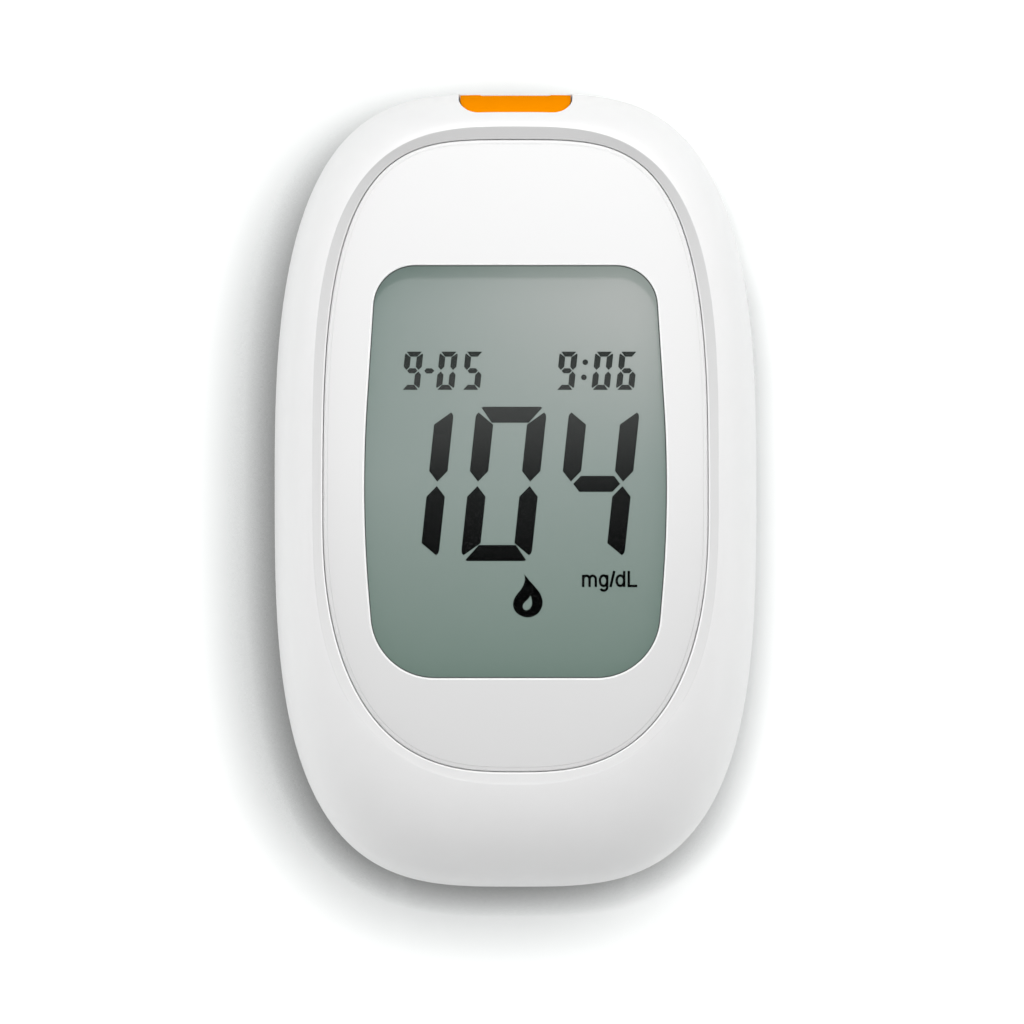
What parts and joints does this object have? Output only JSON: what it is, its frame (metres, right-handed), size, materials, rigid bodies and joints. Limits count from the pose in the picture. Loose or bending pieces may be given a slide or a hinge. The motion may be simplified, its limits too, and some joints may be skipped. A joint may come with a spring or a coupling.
{
  "type": "blood glucose meter",
  "caption": "Egg-shaped hand-held blood glucose meter with a large display, an end strip port, a side strip ejector and a sliding battery cover.",
  "frame": {"origin": "under the middle of the outline, at the level of the feet", "axes": "+Z out of the display, +Y along the length towards the strip port, +X across the face to the reader's right"},
  "size_m": [0.0578, 0.0952, 0.024],
  "materials": {
    "black_plastic": "moulded",
    "black_rubber": "matt",
    "board_laminate": "green laminate",
    "cell_sleeve": "printed sleeve without wording",
    "clear_plastic": "clear, polished",
    "display_film": "smooth film",
    "display_glass": "clear",
    "gold_plate": "gold plated",
    "grey_plastic": "moulded",
    "orange_plastic": "moulded, satin",
    "steel": "plated",
    "white_plastic": "moulded, satin"
  },
  "bodies": {
    "housing": {"battery_bridge": "steel", "battery_plate_negative": "steel", "battery_plate_positive": "steel", "battery_spring_1": "steel", "battery_spring_2": "steel", "buzzer": "black_plastic", "cell_1": "cell_sleeve", "cell_2": "cell_sleeve", "clock_crystal": "steel", "display_lens": "clear_plastic", "eject_spring": "steel", "face_plate": "white_plastic", "foot_1": "black_rubber", "foot_2": "black_rubber", "foot_3": "black_rubber", "foot_4": "black_rubber", "front_housing": "white_plastic", "lcd_frame": "grey_plastic", "lcd_front_glass": "display_glass", "lcd_polariser": "display_film", "lcd_rear_glass": "display_glass", "lcd_reflector": "display_film", "main_board": "board_laminate", "measuring_chip": "black_plastic", "memory_switch": "black_plastic", "processor": "black_plastic", "rear_housing": "white_plastic", "screw_1": "steel", "screw_2": "steel", "screw_3": "steel", "screw_4": "steel", "set_switch": "black_plastic", "strip_connector": "black_plastic", "strip_contact_1": "gold_plate", "strip_contact_2": "gold_plate", "strip_contact_3": "gold_plate", "strip_contact_4": "gold_plate", "strip_contact_5": "gold_plate", "strip_port_insert": "orange_plastic", "zebra_connector": "black_rubber"},
    "battery_cover": {"battery_cover": "white_plastic"},
    "ejector": {"eject_slider": "white_plastic", "eject_carriage": "grey_plastic"},
    "memory_button": {"memory_button": "white_plastic"},
    "set_button": {"set_button": "grey_plastic"}
  },
  "joints": [
    {"name": "eject_slide", "type": "slide", "parent": "housing", "child": "ejector", "axis": [0, 1, 0], "range_m": [0, 0.005], "stiffness_N_per_m": 200, "springref_m": -0.002, "deforming": ["eject_spring"]},
    {"name": "memory_press", "type": "slide", "parent": "housing", "child": "memory_button", "axis": [1, 0, 0], "range_m": [0, 0.0005], "stiffness_N_per_m": 1500},
    {"name": "set_press", "type": "slide", "parent": "housing", "child": "set_button", "axis": [0, 0, 1], "range_m": [0, 0.0004], "stiffness_N_per_m": 1500},
    {"name": "battery_cover_slide", "type": "slide", "parent": "housing", "child": "battery_cover", "axis": [0, -1, 0], "range_m": [0, 0.056]}
  ]
}
